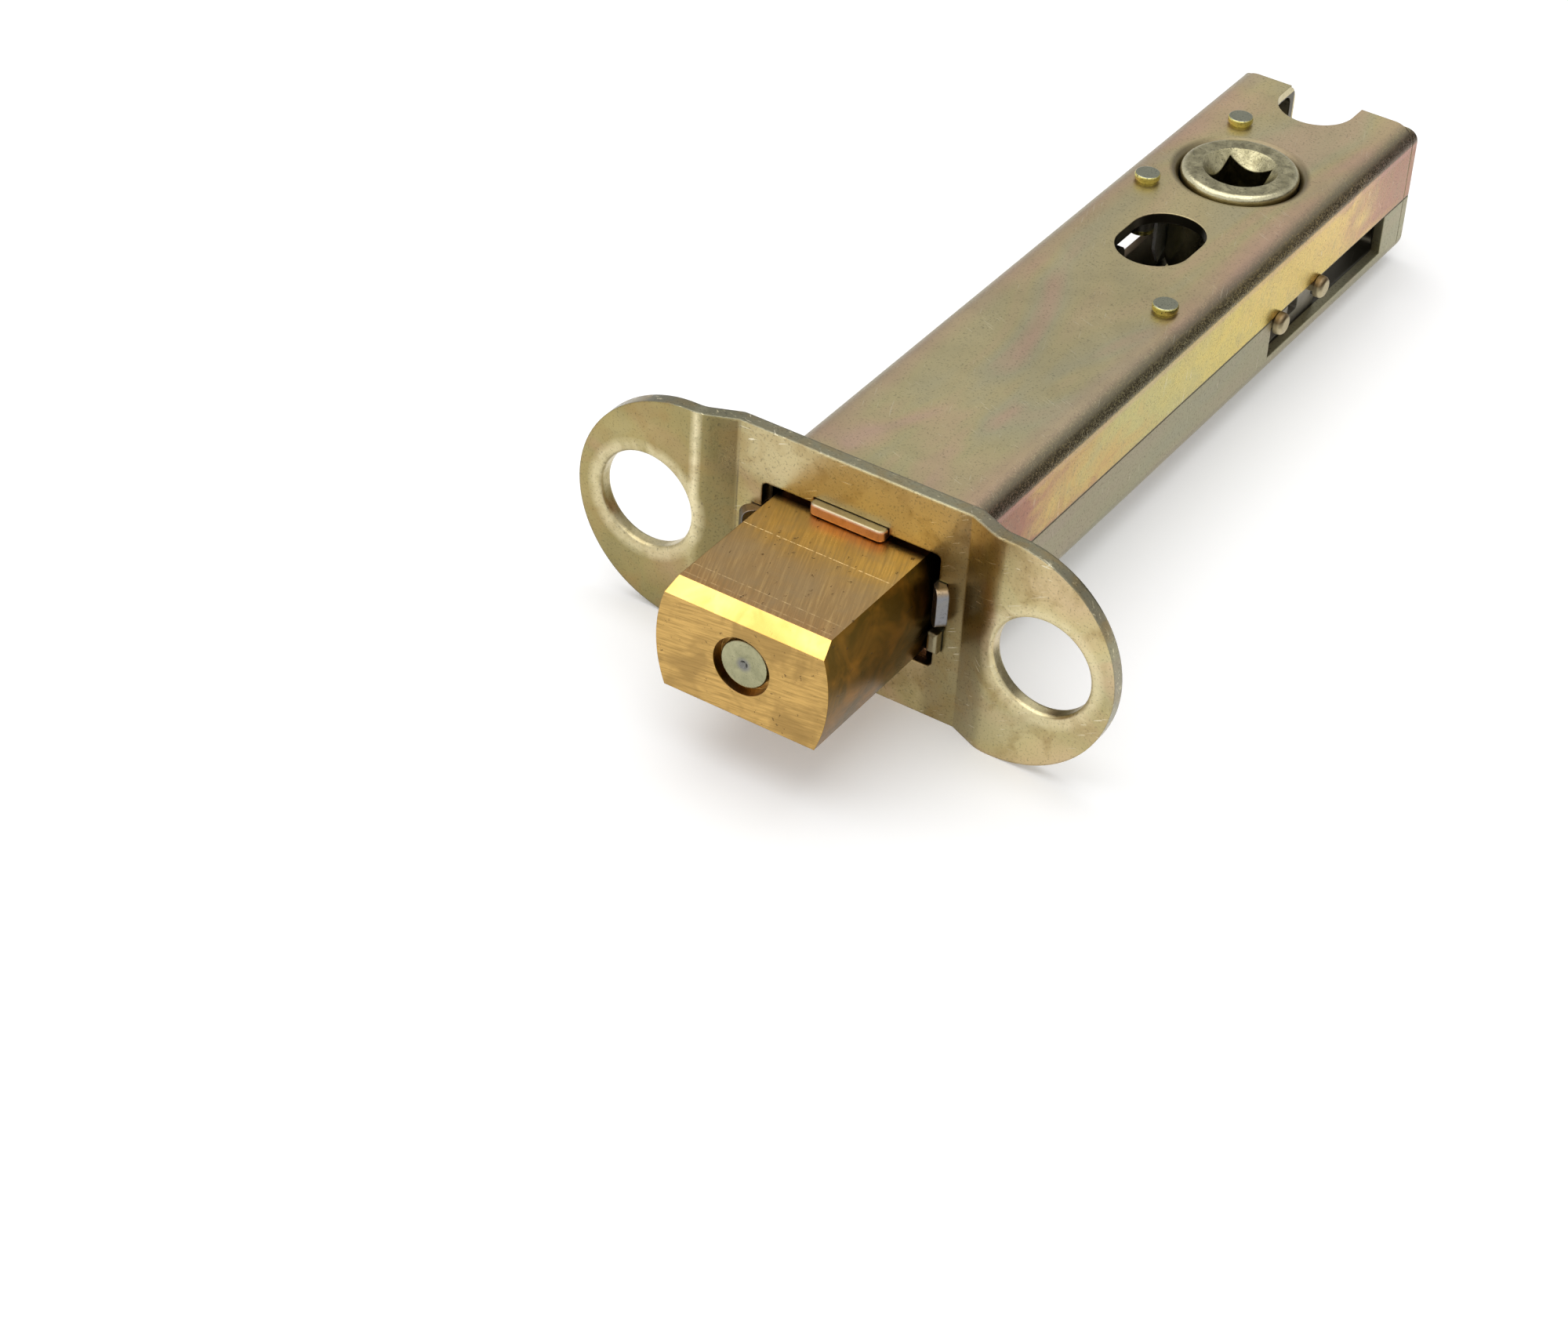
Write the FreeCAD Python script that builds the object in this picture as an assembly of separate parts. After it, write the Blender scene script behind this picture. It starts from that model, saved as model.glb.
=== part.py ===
import FreeCAD, Part
import math
import os

# Tubular deadbolt for a bored timber door, in millimetres.
# Frame: origin midway between the two fixing holes, on the front plane of the flange's ears.
# +Y runs into the door along the case, +Z leaves the case through its upper cover, +X is along the flange.
# The model is drawn with the bolt thrown. Drawn back, the bolt and its slide move by THROW along +Y.

Vec = FreeCAD.Vector
X_AXIS = Vec(1, 0, 0)
Y_AXIS = Vec(0, 1, 0)
Z_AXIS = Vec(0, 0, 1)

# Sheet and clearances
FLANGE_T = 1.5
CASE_T = 1.2
SLIDE_T = 0.9
RUN_GAP = 0.1
SEAT_GAP = 0.05
SIDE_GAP = 0.15

# Flange
EAR_HOLE_PITCH = 45.0
EAR_HOLE_D = 10.6
EAR_END = 7.9
EAR_RIM_R = 0.45
FLANGE_HIGH = 25.0
PANEL_BACKSET = 1.6
PANEL_LAND = 2.2
JOGGLE_LEN = 3.6
PANEL_BEND_R = 0.3
EAR_BEND_R = 3.2
OPENING_R = 0.6
OPENING_SIDE_GAP = 0.5
OPENING_TOP_GAP = 0.75

# Case
CASE_WIDE = 22.0
CASE_HIGH = 16.8
CASE_END = 102.3
CASE_BEND_R = 1.2
REAR_LAND = 6.0
SEAM_Z = -0.8
SEAM_GAP = 0.1
WINDOW_FRONT = 69.2
WINDOW_LEN = 27.2
WINDOW_LOW = -5.6
CORNER_RELIEF = 1.3

# Tabs that hold the flange
TAB_PROUD = 1.1
TAB_TOP_WIDE = 8.4
TAB_ROUND = 0.4
TAB_CORNER = 0.7
TAB_EDGE_R = 0.25
STAKE_LOW = -0.6
STAKE_HIGH = 3.7
STAKE_LEN = 1.55
STAKE_ANGLE = 45.0
STAKE_CORNER = 0.8
STAKE_BEND_R = 0.25
PLAIN_TAB_LOW = -4.1
PLAIN_TAB_HIGH = -1.8

# Follower, with a bolt-through slot ahead of it and a notch behind it
SPINDLE_Y = 80.2
SLOT_AHEAD = 17.9
SLOT_LEN = 11.4
SLOT_WIDE = 8.3
NOTCH_BEHIND = 18.4
NOTCH_WIDE = 8.8
SPINDLE_SQ = 5.2
HUB_JOURNAL_R = 6.5
HUB_SHOULDER = 0.5
HUB_PROUD = 0.5
HUB_RIM_ROUND = 0.7
HUB_CUP_R = 4.15
HUB_CUP_DEEP = 1.6
HUB_WAIST_R = 5.6
COLLAR_DEEP = 0.8
COLLAR_T = 0.95
COLLAR_ROLL_R = 1.15
WAIST_LOW = -5.55
WAIST_HIGH = -2.7

# Drive between follower and slide
THROW = 15.2
HALF_TURN = 48.0
PEG_R = 1.2
ARM_T = 1.2
ARM_ROOT_INSET = 0.6
ARM_LOW = -5.45
PEG_TOP = -3.1
LUG_T = 0.9
LUG_LEVEL_GAP = 0.15
LUG_SIDE_GAP = 0.3

# Bolt and stem
BOLT_NOSE = -16.7
BOLT_TAIL = 14.8
BOLT_SIDE_GAP = 0.2
BOLT_BOW = 1.15
BOLT_HIGH = 11.7
CHAMFER_BACK = 1.8
CHAMFER_DOWN = 1.1
STEM_D = 5.2
STEM_SINK = 0.4
STEM_EDGE_R = 0.2
COUNTERBORE_D = 6.3
COUNTERBORE_DEEP = 1.4
DIMPLE_R = 0.45
STEM_NECK_D = 4.0
WASHER_D = 9.0
WASHER_T = 1.0
RIVETED_END_R = 2.9
RIVETED_END_T = 1.1
RIVETED_END_ROUND = 0.5

# Slide
SLIDE_TAIL = 2.6
WEB_REAR = 41.0
STRIP_TOP = 1.0
STRIP_START_GAP = 1.7
STRIP_RAMP = 3.0
TAIL_TOP = -4.6
RIGHT_DIP = -4.4
LEFT_DIP = -2.05
FRONT_LUG_TOP = 5.0
FRONT_LUG_INSET = 2.1
FRONT_LUG_R = 0.4
SLIDE_BEND_R = 0.3
DIP_ROUND = 0.4
LUG_ROUND = 1.2

# Guide studs
STUD_STOP_GAP = 0.5
STUD_PITCH = 9.4
STUD_Z = -1.75
STUD_R = 0.8
STUD_HEAD_R = 1.25
STUD_HEAD_T = 1.0
STUD_DOME_R = 0.55
STUD_LUG_HALF = 1.6

# Case rivets, each through a spacer sleeve: side of the case, distance from that side, and y
# The side one ends inside the case, below the brake spring's upper edge
RIVETS = {"front": (1, 3.8, 50.1), "side": (-1, 3.8, 72.3), "rear": (-1, 6.0, 89.6)}
RIVET_R = 0.9
RIVET_HEAD_R = 1.4
RIVET_HEAD_T = 0.6
RIVET_COLLAR_R = 1.15
RIVET_COLLAR_T = 0.35
RIVET_ROUND = 0.22
SLEEVE_R = 1.3
SHORT_SLEEVE_R = 1.4
SHORT_RIVET_LOW = 2.2
SHORT_RIVET_END_T = 0.5

# Brake spring and bolt guides
SPRING_T = 0.35
SPRING_LOW = -2.8
SPRING_HIGH = 3.5
SPRING_REST_LEN = 0.1
SPRING_CORNER_BACK = 2.5
SPRING_CORNER_UP = 2.9
SPRING_HOOK = 120.0
GUIDE_SIDE_GAP = 1.2
GUIDE_LEN = 10.6
GUIDE_LEAD_R = 0.6

# Worked out from the sizes above
FLANGE_LEN = EAR_HOLE_PITCH + 2 * EAR_END
PANEL_FRONT = PANEL_BACKSET
PANEL_BACK = PANEL_FRONT + FLANGE_T
CASE_HALF = CASE_WIDE / 2
CASE_TOP = CASE_HIGH / 2
INNER_HALF = CASE_HALF - CASE_T
INNER_TOP = CASE_TOP - CASE_T
PANEL_HALF = CASE_HALF + PANEL_LAND
WALL_END = CASE_END - CASE_T - SIDE_GAP
WINDOW_REAR = WINDOW_FRONT + WINDOW_LEN
STRIP_OUT = INNER_HALF - SIDE_GAP
STRIP_IN = STRIP_OUT - SLIDE_T
WEB_LOW = -INNER_TOP + 2 * RUN_GAP
WEB_HIGH = WEB_LOW + SLIDE_T
SLOT_Y = SPINDLE_Y - SLOT_AHEAD
NOTCH_Y = SPINDLE_Y + NOTCH_BEHIND
HUB_BARREL_R = HUB_JOURNAL_R + HUB_SHOULDER
BOLT_WIDE = 2 * (INNER_HALF - BOLT_SIDE_GAP)
BOLT_FLAT = BOLT_WIDE / 2 - BOLT_BOW
BOLT_TOP = BOLT_HIGH / 2
LUG_BACK = BOLT_TAIL + SLIDE_T
STRIP_START = LUG_BACK + STRIP_START_GAP
STUD_FRONT_Y = WINDOW_FRONT + STUD_R + STUD_STOP_GAP + 2 * SEAT_GAP
STUD_REAR_Y = STUD_FRONT_Y + STUD_PITCH
SLIDE_REAR = STUD_REAR_Y + SLIDE_TAIL
PEG_RADIUS = THROW / (2 * math.sin(math.radians(HALF_TURN)))
PEG_Y = SPINDLE_Y - THROW / 2


def box(x0, x1, y0, y1, z0, z1):
    return Part.makeBox(x1 - x0, y1 - y0, z1 - z0, Vec(x0, y0, z0))


def bar_x(radius, y, z, x0, x1):
    start, way = (x0, 1) if x1 > x0 else (x0, -1)
    return Part.makeCylinder(radius, abs(x1 - x0), Vec(start, y, z), Vec(way, 0, 0))


def bar_y(radius, x, z, y0, y1):
    return Part.makeCylinder(radius, y1 - y0, Vec(x, y0, z), Y_AXIS)


def bar_z(radius, x, y, z0, z1):
    return Part.makeCylinder(radius, z1 - z0, Vec(x, y, z0), Z_AXIS)


def ball_head(radius, thick, base, way, round_r):
    """A low round head on a plane, with its far edge rounded."""
    head = Part.makeCylinder(radius, thick, base, way)
    far = base + way * thick
    rim = [e for e in head.Edges if is_rim(e, far, way)]
    return head.makeFillet(round_r, rim)


def rivet_spot(name):
    side, inset, y = RIVETS[name]
    return side * (CASE_HALF - inset), y


def is_rim(edge, point, way):
    if not isinstance(edge.Curve, Part.Circle):
        return False
    return abs((edge.Curve.Center - point).dot(way)) < 1e-6


def mirror_x(shape):
    return shape.mirror(Vec(0, 0, 0), X_AXIS)


def mirror_z(shape):
    return shape.mirror(Vec(0, 0, 0), Z_AXIS)


def corner_cut(before, corner, after, radius):
    """Start, middle and end of the arc that rounds one corner, as flat points."""
    a = (before - corner).normalize()
    b = (after - corner).normalize()
    half = a.getAngle(b) / 2
    reach = radius / math.tan(half)
    centre = corner + (a + b).normalize() * (radius / math.sin(half))
    middle = centre + (corner - centre).normalize() * radius
    return corner + a * reach, middle, corner + b * reach


def rounded_wire(points, radii):
    """A closed wire through flat points, each corner rounded by its own radius."""
    flat = [Vec(p[0], p[1], 0) for p in points]
    count = len(flat)
    cuts = []
    for i, corner in enumerate(flat):
        if radii[i] > 0:
            cuts.append(corner_cut(flat[i - 1], corner, flat[(i + 1) % count], radii[i]))
        else:
            cuts.append((corner, None, corner))
    edges = []
    for i, (start, middle, end) in enumerate(cuts):
        if middle:
            edges.append(Part.Arc(start, middle, end).toShape())
        follow = cuts[(i + 1) % count][0]
        if (follow - end).Length > 1e-6:
            edges.append(Part.LineSegment(end, follow).toShape())
    return Part.Wire(edges)


def flat_face(points, radii=None):
    return Part.Face(rounded_wire(points, radii or [0] * len(points)))


def turned(face, u_axis, v_axis, origin):
    """Puts a face drawn in XY onto the plane of two axes."""
    w_axis = u_axis.cross(v_axis)
    place = FreeCAD.Matrix(
        u_axis.x, v_axis.x, w_axis.x, origin.x,
        u_axis.y, v_axis.y, w_axis.y, origin.y,
        u_axis.z, v_axis.z, w_axis.z, origin.z,
        0, 0, 0, 1,
    )
    face.transformShape(place, True)
    return face


def folded_face(path, thick, bend_radii):
    """The section of a folded sheet whose middle line is the path, with one inner radius per bend."""
    flat = [Vec(p[0], p[1], 0) for p in path]
    inner = [0] + bend_radii + [0]
    sides = {1: [], -1: []}
    radii = {1: [], -1: []}
    for i, point in enumerate(flat):
        into = (point - flat[i - 1]).normalize() if i else (flat[1] - point).normalize()
        out = (flat[i + 1] - point).normalize() if i + 1 < len(flat) else into
        normal = Vec(-into.y - out.y, into.x + out.x, 0).normalize()
        reach = thick / 2 / normal.dot(Vec(-into.y, into.x, 0))
        turn = into.x * out.y - into.y * out.x
        for side in (1, -1):
            sides[side].append(point + normal * (side * reach))
            if abs(turn) < 1e-9:
                radii[side].append(0)
            else:
                radii[side].append(inner[i] if turn * side > 0 else inner[i] + thick)
    points = sides[1] + sides[-1][::-1]
    return flat_face(points, radii[1] + radii[-1][::-1])


def one_solid(shape):
    clean = shape.removeSplitter()
    return clean.Solids[0] if len(clean.Solids) == 1 else clean


def stadium(half_long, half_high, y0, y1):
    """The flange's outline, a long slot shape in XZ, as a slab between two y values."""
    reach = half_long - half_high
    slab = box(-reach, reach, y0, y1, -half_high, half_high)
    for side in (-1, 1):
        slab = slab.fuse(bar_y(half_high, side * reach, 0, y0, y1))
    return slab.removeSplitter()


def flange_section():
    front = FLANGE_T / 2
    back = front + PANEL_BACKSET
    edge = FLANGE_LEN / 2 + 1
    bend = PANEL_HALF + JOGGLE_LEN
    path = [
        (-edge, front), (-bend, front), (-PANEL_HALF, back),
        (PANEL_HALF, back), (bend, front), (edge, front),
    ]
    return folded_face(path, FLANGE_T, [EAR_BEND_R, PANEL_BEND_R, PANEL_BEND_R, EAR_BEND_R])


def ear_hole(side):
    """A round hole whose front rim is rolled over."""
    x = side * EAR_HOLE_PITCH / 2
    hole_r = EAR_HOLE_D / 2
    hole = bar_y(hole_r, x, 0, -1, FLANGE_T + 1)
    roll = Part.makeCylinder(hole_r + EAR_RIM_R, EAR_RIM_R, Vec(x, 0, 0), Y_AXIS)
    ring = Part.makeTorus(hole_r + EAR_RIM_R, EAR_RIM_R, Vec(x, EAR_RIM_R, 0), Y_AXIS)
    return hole.fuse(roll.cut(ring))


def panel_opening():
    """The bolt's opening with the notches that the case tabs pass through."""
    y0 = PANEL_FRONT - 1
    y1 = PANEL_BACK + 1
    half_x = BOLT_WIDE / 2 + OPENING_SIDE_GAP
    half_z = BOLT_TOP + OPENING_TOP_GAP
    corners = [(-half_x, -half_z), (half_x, -half_z), (half_x, half_z), (-half_x, half_z)]
    face = turned(flat_face(corners, [OPENING_R] * 4), X_AXIS, Z_AXIS, Vec(0, y1, 0))
    hole = face.extrude(Vec(0, y0 - y1, 0))
    tab_half = TAB_TOP_WIDE / 2 + RUN_GAP
    hole = hole.fuse(box(-tab_half, tab_half, y0, y1, -INNER_TOP - RUN_GAP, INNER_TOP + RUN_GAP))
    side = CASE_HALF + RUN_GAP
    low = PLAIN_TAB_LOW - RUN_GAP
    return hole.fuse(box(-side, side, y0, y1, low, STAKE_HIGH + RUN_GAP))


def forend_flange():
    sheet = flange_section().extrude(Vec(0, 0, FLANGE_HIGH)).translated(Vec(0, 0, -FLANGE_HIGH / 2))
    body = sheet.common(stadium(FLANGE_LEN / 2, FLANGE_HIGH / 2, -1, PANEL_BACK + 1))
    for side in (-1, 1):
        body = body.cut(ear_hole(side))
    return one_solid(body.cut(panel_opening()))


def case_envelope():
    """The outside of the closed case, a long bar with rounded edges."""
    outer_r = CASE_BEND_R + CASE_T
    corners = [(-CASE_HALF, -CASE_TOP), (CASE_HALF, -CASE_TOP), (CASE_HALF, CASE_TOP), (-CASE_HALF, CASE_TOP)]
    face = turned(flat_face(corners, [outer_r] * 4), X_AXIS, Z_AXIS, Vec(0, CASE_END, 0))
    return face.extrude(Vec(0, PANEL_BACK - CASE_END, 0))


def tray(edge_z):
    """An open folded tray over the case's upper half, down to one edge height."""
    mid_x = CASE_HALF - CASE_T / 2
    mid_z = CASE_TOP - CASE_T / 2
    path = [(-mid_x, edge_z), (-mid_x, mid_z), (mid_x, mid_z), (mid_x, edge_z)]
    face = turned(folded_face(path, CASE_T, [CASE_BEND_R] * 2), X_AXIS, Z_AXIS, Vec(0, WALL_END, 0))
    sides = face.extrude(Vec(0, PANEL_BACK - WALL_END, 0))
    return sides.fuse(rear_wall(edge_z))


def rear_wall(edge_z):
    """The cover's rear end, folded over the ends of the side walls."""
    mid_y = CASE_END - CASE_T / 2
    mid_z = CASE_TOP - CASE_T / 2
    start = CASE_END - REAR_LAND
    face = folded_face([(mid_y, edge_z), (mid_y, mid_z), (start, mid_z)], CASE_T, [CASE_BEND_R])
    fold = turned(face, Y_AXIS, Z_AXIS, Vec(-CASE_HALF, 0, 0)).extrude(Vec(CASE_WIDE, 0, 0))
    fold = fold.common(case_envelope())
    inner = CASE_HALF - CASE_T - CASE_BEND_R
    gap_end = WALL_END + SIDE_GAP
    for side in (-1, 1):
        x0, x1 = sorted((side * inner, side * (CASE_HALF + 1)))
        fold = fold.cut(box(x0, x1, start - 1, gap_end, 0, CASE_TOP + 1))
    return fold


def collar(shape):
    """Draws the cover in round the follower: a rolled outer edge and a short collar inside."""
    bore_r = HUB_JOURNAL_R + RUN_GAP
    wall_r = bore_r + COLLAR_T
    ring = bar_z(wall_r, 0, SPINDLE_Y, INNER_TOP - COLLAR_DEEP, CASE_TOP)
    shape = shape.fuse(ring)
    shape = shape.cut(bar_z(bore_r, 0, SPINDLE_Y, INNER_TOP - COLLAR_DEEP - 1, CASE_TOP + 1))
    roll = bar_z(bore_r + COLLAR_ROLL_R, 0, SPINDLE_Y, CASE_TOP - COLLAR_ROLL_R, CASE_TOP)
    centre = Vec(0, SPINDLE_Y, CASE_TOP - COLLAR_ROLL_R)
    torus = Part.makeTorus(bore_r + COLLAR_ROLL_R, COLLAR_ROLL_R, centre, Z_AXIS)
    return shape.cut(roll.cut(torus))


def through_slot(z0, z1):
    """A round-ended slot along the case for the front bolt-through screw."""
    half = SLOT_WIDE / 2
    reach = SLOT_LEN / 2 - half
    slot = box(-half, half, SLOT_Y - reach, SLOT_Y + reach, z0, z1)
    for side in (-1, 1):
        slot = slot.fuse(bar_z(half, 0, SLOT_Y + side * reach, z0, z1))
    return slot


def cover_holes(shape, rivets):
    """Bolt-through slot and notch, and a hole for each rivet that this cover takes."""
    z0 = INNER_TOP - COLLAR_DEEP - 1
    z1 = CASE_TOP + 1
    shape = shape.cut(through_slot(z0, z1))
    shape = shape.cut(bar_z(NOTCH_WIDE / 2, 0, NOTCH_Y, -CASE_TOP, z1))
    shape = shape.cut(box(-NOTCH_WIDE / 2, NOTCH_WIDE / 2, NOTCH_Y, CASE_END + 1, -CASE_TOP, z1))
    for name in rivets:
        x, y = rivet_spot(name)
        shape = shape.cut(bar_z(RIVET_R + SEAT_GAP, x, y, z0, z1))
    return shape


def staked_tab(side):
    """A side tab of the upper cover, bent outward over the flange's panel."""
    mid = CASE_HALF - CASE_T / 2
    turn = math.radians(STAKE_ANGLE)
    bend = PANEL_FRONT - RUN_GAP - CASE_T / 2 * math.tan(turn / 2)
    tip = (mid + STAKE_LEN * math.sin(turn), bend - STAKE_LEN * math.cos(turn))
    face = folded_face([(mid, PANEL_BACK + CASE_T), (mid, bend), tip], CASE_T, [STAKE_BEND_R])
    tab = face.extrude(Vec(0, 0, STAKE_HIGH - STAKE_LOW)).translated(Vec(0, 0, STAKE_LOW))
    way = Vec(math.sin(turn), -math.cos(turn), 0)
    reach = max(v.Point.dot(way) for v in tab.Vertexes)
    corners = [e for e in tab.Edges if is_tip_corner(e, way, reach)]
    tab = tab.makeFillet(STAKE_CORNER, corners)
    return tab if side > 0 else mirror_x(tab)


def is_tip_corner(edge, way, reach):
    """True for the short edges across a tab's end, which lie flat and at its tip."""
    if len(edge.Vertexes) < 2 or edge.BoundBox.ZLength > 1e-6:
        return False
    return all(abs(v.Point.dot(way) - reach) < 1e-6 for v in edge.Vertexes)


def plain_side_tab(side):
    """A side tab of the lower cover, left straight."""
    y0 = PANEL_FRONT - TAB_PROUD
    tab = box(INNER_HALF, CASE_HALF, y0, PANEL_BACK + CASE_T, PLAIN_TAB_LOW, PLAIN_TAB_HIGH)
    nose = [e for e in tab.Edges if abs(e.BoundBox.YMax - y0) < 1e-6]
    tab = tab.makeFillet(TAB_ROUND, nose)
    return tab if side > 0 else mirror_x(tab)


def upper_case_cover():
    shell = cover_holes(collar(tray(SEAM_Z + SEAM_GAP / 2)), RIVETS)
    for side in (-1, 1):
        shell = shell.fuse(staked_tab(side))
    return one_solid(shell)


def lower_case_cover():
    """Drawn over the upper half and turned over, so that its seam edge is at -SEAM_Z while drawn."""
    shell = mirror_z(cover_holes(collar(tray(-SEAM_Z + SEAM_GAP / 2)), ["front", "rear"]))
    wide = CASE_HALF + 1
    shell = shell.cut(box(-wide, wide, WINDOW_FRONT, WINDOW_REAR, WINDOW_LOW, SEAM_Z + 1))
    for side in (-1, 1):
        shell = shell.fuse(plain_side_tab(side))
        x0, x1 = sorted((side * (INNER_HALF - CASE_BEND_R), side * wide))
        low = -CASE_TOP - 1
        shell = shell.cut(box(x0, x1, WALL_END, CASE_END + 1, low, -CASE_TOP + CORNER_RELIEF))
    return one_solid(shell)


def bolt_profile():
    """Flat top and bottom, with bowed sides."""
    flat = BOLT_FLAT
    bulge = BOLT_WIDE / 2
    y = BOLT_TAIL
    right = Part.Arc(Vec(flat, y, -BOLT_TOP), Vec(bulge, y, 0), Vec(flat, y, BOLT_TOP)).toShape()
    left = Part.Arc(Vec(-flat, y, BOLT_TOP), Vec(-bulge, y, 0), Vec(-flat, y, -BOLT_TOP)).toShape()
    top = Part.LineSegment(Vec(flat, y, BOLT_TOP), Vec(-flat, y, BOLT_TOP)).toShape()
    low = Part.LineSegment(Vec(-flat, y, -BOLT_TOP), Vec(flat, y, -BOLT_TOP)).toShape()
    return Part.Face(Part.Wire([right, top, left, low]))


def brass_bolt():
    body = bolt_profile().extrude(Vec(0, BOLT_NOSE - BOLT_TAIL, 0))
    nose = [
        (BOLT_NOSE - CHAMFER_BACK, BOLT_TOP - 2 * CHAMFER_DOWN),
        (BOLT_NOSE + 2 * CHAMFER_BACK, BOLT_TOP + CHAMFER_DOWN),
        (BOLT_NOSE - CHAMFER_BACK, BOLT_TOP + CHAMFER_DOWN),
    ]
    wedge = turned(flat_face(nose), Y_AXIS, Z_AXIS, Vec(-BOLT_WIDE, 0, 0))
    body = body.cut(wedge.extrude(Vec(2 * BOLT_WIDE, 0, 0)))
    body = body.cut(bar_y(STEM_D / 2, 0, 0, BOLT_NOSE - 1, BOLT_TAIL + 1))
    return one_solid(body.cut(bar_y(COUNTERBORE_D / 2, 0, 0, BOLT_NOSE - 1, BOLT_NOSE + COUNTERBORE_DEEP)))


def bolt_stem():
    """The steel pin through the bolt, riveted over behind the slide's lug."""
    face_y = BOLT_NOSE + STEM_SINK
    seat = LUG_BACK + WASHER_T
    stem = bar_y(STEM_D / 2, 0, 0, face_y, BOLT_TAIL)
    rim = [e for e in stem.Edges if is_rim(e, Vec(0, face_y, 0), Y_AXIS)]
    stem = stem.makeFillet(STEM_EDGE_R, rim)
    stem = stem.fuse(bar_y(STEM_NECK_D / 2, 0, 0, BOLT_TAIL, seat))
    stem = stem.fuse(ball_head(RIVETED_END_R, RIVETED_END_T, Vec(0, seat, 0), Y_AXIS, RIVETED_END_ROUND))
    dimple = Part.makeCone(DIMPLE_R, 0, DIMPLE_R, Vec(0, face_y, 0), Y_AXIS)
    return one_solid(stem.cut(dimple))


def stem_washer():
    ring = bar_y(WASHER_D / 2, 0, 0, LUG_BACK, LUG_BACK + WASHER_T)
    return ring.cut(bar_y(STEM_NECK_D / 2 + SEAT_GAP, 0, 0, LUG_BACK - 1, LUG_BACK + WASHER_T + 1))


def peg_slack():
    """Half the gap between the drive lugs: the peg, and how far its arc leaves the even pace of the slide."""
    worst = 0
    for step in range(1, 49):
        part = step / 48
        even = THROW / 2 * part
        worst = max(worst, PEG_RADIUS * math.sin(math.radians(HALF_TURN * part)) - even)
    return PEG_R + worst + RUN_GAP


def strip_outline(side):
    """Side view of one slide strip in YZ, with a raised lug at each guide stud."""
    top = STUD_Z + STUD_LUG_HALF
    dip = RIGHT_DIP if side > 0 else LEFT_DIP
    low = -INNER_TOP
    lug_rear = STUD_REAR_Y + STUD_LUG_HALF
    points = [
        (STRIP_START, low), (SLIDE_REAR, low), (SLIDE_REAR, TAIL_TOP), (lug_rear, TAIL_TOP),
        (lug_rear, top), (STUD_REAR_Y - STUD_LUG_HALF, top), (STUD_REAR_Y - STUD_LUG_HALF, dip),
        (STUD_FRONT_Y + STUD_LUG_HALF, dip), (STUD_FRONT_Y + STUD_LUG_HALF, top),
        (STUD_FRONT_Y - STUD_LUG_HALF, top), (STUD_FRONT_Y - STUD_LUG_HALF - STRIP_RAMP, STRIP_TOP),
        (STRIP_START, STRIP_TOP),
    ]
    small, large = DIP_ROUND, LUG_ROUND
    radii = [0, 0, small, small, large, large, small, small, large, small, small, small]
    face = turned(flat_face(points, radii), Y_AXIS, Z_AXIS, Vec(0, 0, 0))
    return face.extrude(Vec(side * CASE_HALF, 0, 0))


def drive_lug_root():
    """Raises the right strip's edge where the rear drive lug leaves it."""
    y0 = PEG_Y + peg_slack()
    return box(STRIP_IN, STRIP_OUT, y0, y0 + 2 * LUG_T, TAIL_TOP, PEG_TOP + RUN_GAP)


def slide_channel():
    mid_x = (STRIP_OUT + STRIP_IN) / 2
    mid_z = (WEB_LOW + WEB_HIGH) / 2
    high = INNER_TOP
    path = [(-mid_x, high), (-mid_x, mid_z), (mid_x, mid_z), (mid_x, high)]
    face = turned(folded_face(path, SLIDE_T, [SLIDE_BEND_R] * 2), X_AXIS, Z_AXIS, Vec(0, SLIDE_REAR, 0))
    channel = face.extrude(Vec(0, STRIP_START - SLIDE_REAR, 0))
    channel = channel.common(strip_outline(1).fuse(strip_outline(-1)))
    channel = channel.cut(box(-STRIP_IN, STRIP_IN, WEB_REAR, SLIDE_REAR + 1, WEB_LOW - 1, INNER_TOP))
    return channel.cut(rivet_slot())


def rivet_slot():
    """Clears the front spacer sleeve over the whole travel."""
    x, y = rivet_spot("front")
    clear = SLEEVE_R + LUG_SIDE_GAP
    return box(x - clear, STRIP_IN, y - clear - THROW, WEB_REAR + 1, WEB_LOW - 1, 0)


def front_lug():
    """The slide's front end, folded up behind the bolt."""
    mid_y = BOLT_TAIL + SLIDE_T / 2
    mid_z = (WEB_LOW + WEB_HIGH) / 2
    path = [(mid_y, FRONT_LUG_TOP), (mid_y, mid_z), (STRIP_START + STRIP_RAMP, mid_z)]
    half = INNER_HALF - FRONT_LUG_INSET
    face = folded_face(path, SLIDE_T, [FRONT_LUG_R])
    lug = turned(face, Y_AXIS, Z_AXIS, Vec(-half, 0, 0)).extrude(Vec(2 * half, 0, 0))
    return lug.cut(bar_y(STEM_NECK_D / 2 + SEAT_GAP, 0, 0, BOLT_TAIL - 1, LUG_BACK + 1))


def drive_window():
    """The right strip's window: wide for the arm, narrow above it for the peg."""
    arm_top = ARM_LOW + ARM_T + LUG_LEVEL_GAP / 2
    wide = peg_slack() + PEG_R + LUG_SIDE_GAP
    low = box(STRIP_IN - 1, STRIP_OUT + 1, PEG_Y - wide, PEG_Y + wide, WINDOW_LOW, arm_top)
    slack = peg_slack()
    high = box(STRIP_IN - 1, STRIP_OUT + 1, PEG_Y - slack, PEG_Y + slack, arm_top, PEG_TOP + RUN_GAP)
    return low.fuse(high)


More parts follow.
